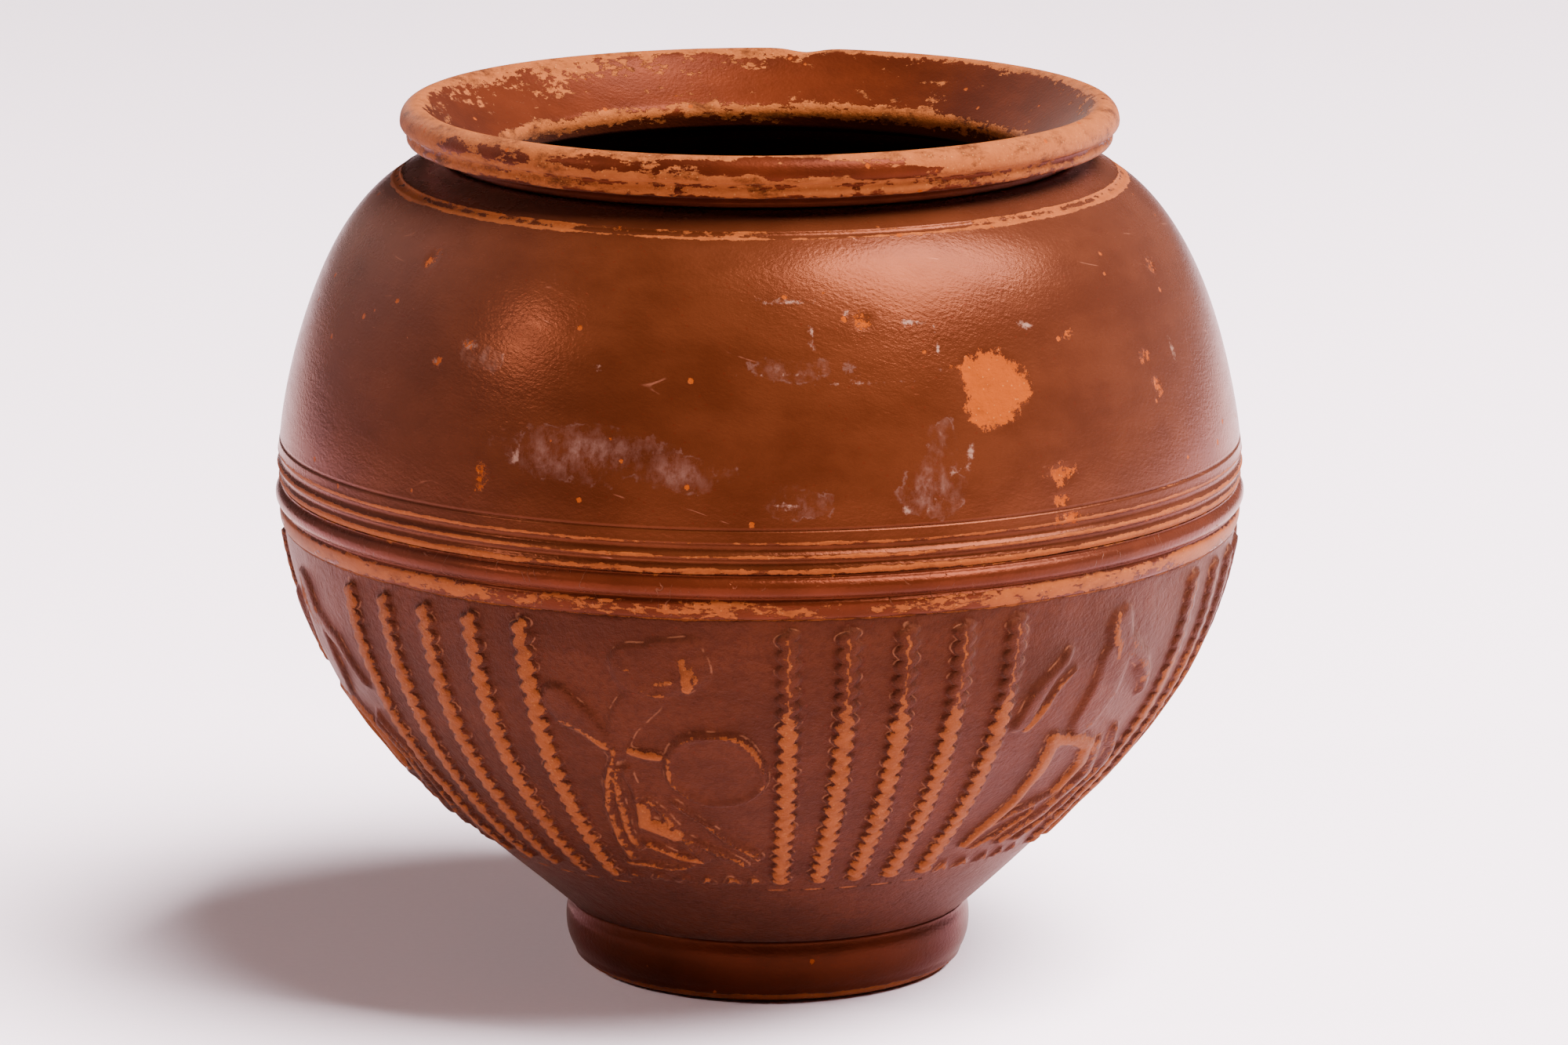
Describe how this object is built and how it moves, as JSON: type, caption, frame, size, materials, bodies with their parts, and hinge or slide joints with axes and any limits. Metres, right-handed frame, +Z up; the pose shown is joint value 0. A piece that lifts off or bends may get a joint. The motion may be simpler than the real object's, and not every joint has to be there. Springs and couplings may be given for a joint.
{
  "type": "relief beaker",
  "caption": "Round footed beaker in red slipped pottery, with a relief zone of wavy columns below a corded belly and a rolled lip.",
  "frame": {"origin": "centre of the foot's resting face, on the vessel's axis", "axes": "+Z up along the vessel's axis; -Y faces the picture's camera"},
  "size_m": [0.1648, 0.1648, 0.1493],
  "materials": {
    "foot_slip": "satin",
    "relief_slip": "satin",
    "cordon_slip": "satin",
    "shoulder_slip": "satin",
    "lip_slip": "satin"
  },
  "bodies": {
    "root": {"foot_ring": "foot_slip", "moulded_bowl": "relief_slip", "seam_cordon": "cordon_slip", "thrown_shoulder": "shoulder_slip", "neck_and_lip": "lip_slip"}
  },
  "joints": []
}
